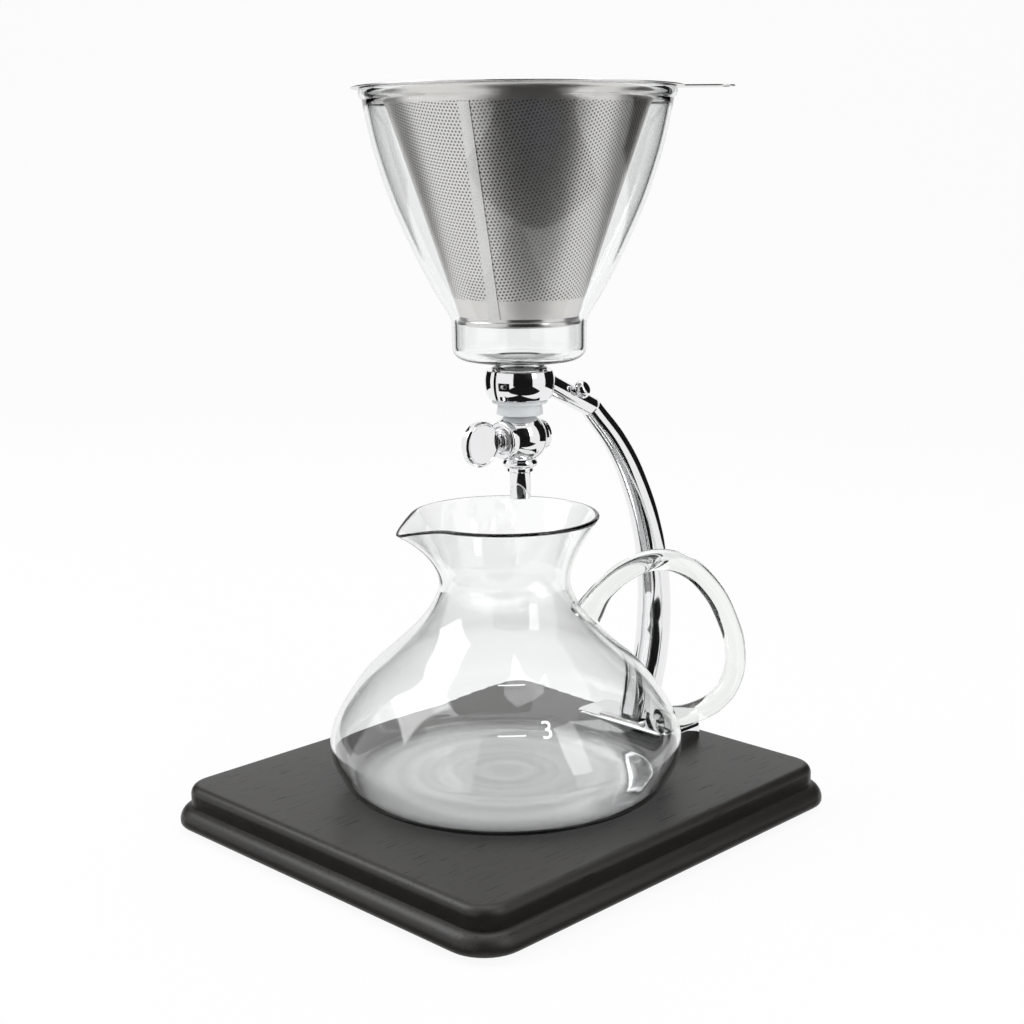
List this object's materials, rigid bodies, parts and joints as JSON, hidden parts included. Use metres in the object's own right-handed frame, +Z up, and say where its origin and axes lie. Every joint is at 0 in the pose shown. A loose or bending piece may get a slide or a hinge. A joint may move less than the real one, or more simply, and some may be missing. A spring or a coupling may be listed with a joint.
{
  "type": "slow-drip coffee maker",
  "caption": "Glass funnel with a steel cone filter in a collar on a curved chrome arm, over a tap and a glass carafe on a wooden base.",
  "frame": {"origin": "middle of the base's footprint, on the surface that the feet stand on", "axes": "+Z up, +Y to the back where the arm stands, +X to the right seen from the front"},
  "size_m": [0.2002, 0.224, 0.315],
  "materials": {
    "black_wood": "black-stained hardwood with open grain and a satin lacquer",
    "foot_rubber": "matte black rubber",
    "screw_steel": "plain machined steel",
    "chrome": "polished chrome plate",
    "badge_steel": "bare satin plate",
    "clear_glass": "clear borosilicate glass",
    "filter_mesh": "finely perforated stainless sheet",
    "filter_steel": "stainless sheet, satin",
    "silicone": "translucent white silicone rubber",
    "packing": "white fluoropolymer",
    "seal_rubber": "black rubber"
  },
  "bodies": {
    "stand": {"base_board": "black_wood", "base_feet": "foot_rubber", "foot_screws": "screw_steel", "arm": "chrome", "arm_base": "chrome", "base_badge": "badge_steel", "arm_bolt": "screw_steel", "arm_washer": "screw_steel"},
    "bracket": {"collar": "chrome", "clamp_screw": "screw_steel"},
    "thumb": {"thumb_screw": "chrome"},
    "funnel": {"funnel_glass": "clear_glass"},
    "filter": {"filter_cone": "filter_mesh", "filter_rim": "filter_steel", "filter_base_ring": "filter_steel", "filter_base_mesh": "filter_mesh", "filter_seam": "filter_steel"},
    "tap": {"stopper": "silicone", "tap_body": "chrome", "outlet_tube": "chrome", "packing_nut": "chrome", "gland_packing": "packing", "back_cap": "chrome"},
    "valve": {"valve_plug": "chrome", "plug_seals": "seal_rubber", "valve_spindle": "chrome", "valve_paddle": "chrome"},
    "carafe": {"carafe_glass": "clear_glass", "carafe_handle": "clear_glass"}
  },
  "joints": [
    {"name": "bracket_off", "type": "slide", "parent": "stand", "child": "bracket", "axis": [0, -0.9026, 0.4305], "range_m": [0, 0.018]},
    {"name": "thumb_turn", "type": "hinge", "parent": "bracket", "child": "thumb", "pos_m": [0.0053, 0.0371, 0.18501], "axis": [0.866, 0.2153, 0.4513], "range_deg": [0, 360]},
    {"name": "funnel_lift", "type": "slide", "parent": "bracket", "child": "funnel", "axis": [0, 0, 1], "range_m": [0, 0.04]},
    {"name": "filter_lift", "type": "slide", "parent": "funnel", "child": "filter", "axis": [0, 0, 1], "range_m": [0, 0.11]},
    {"name": "tap_pull", "type": "slide", "parent": "bracket", "child": "tap", "axis": [0, 0, -1], "range_m": [0, 0.02]},
    {"name": "valve_turn", "type": "hinge", "parent": "tap", "child": "valve", "pos_m": [0.0053, 0.0055, 0.1703], "axis": [0, -1, 0], "range_deg": [0, 90]},
    {"name": "carafe_out", "type": "slide", "parent": "stand", "child": "carafe", "axis": [0, -1, 0], "range_m": [0, 0.2]}
  ]
}
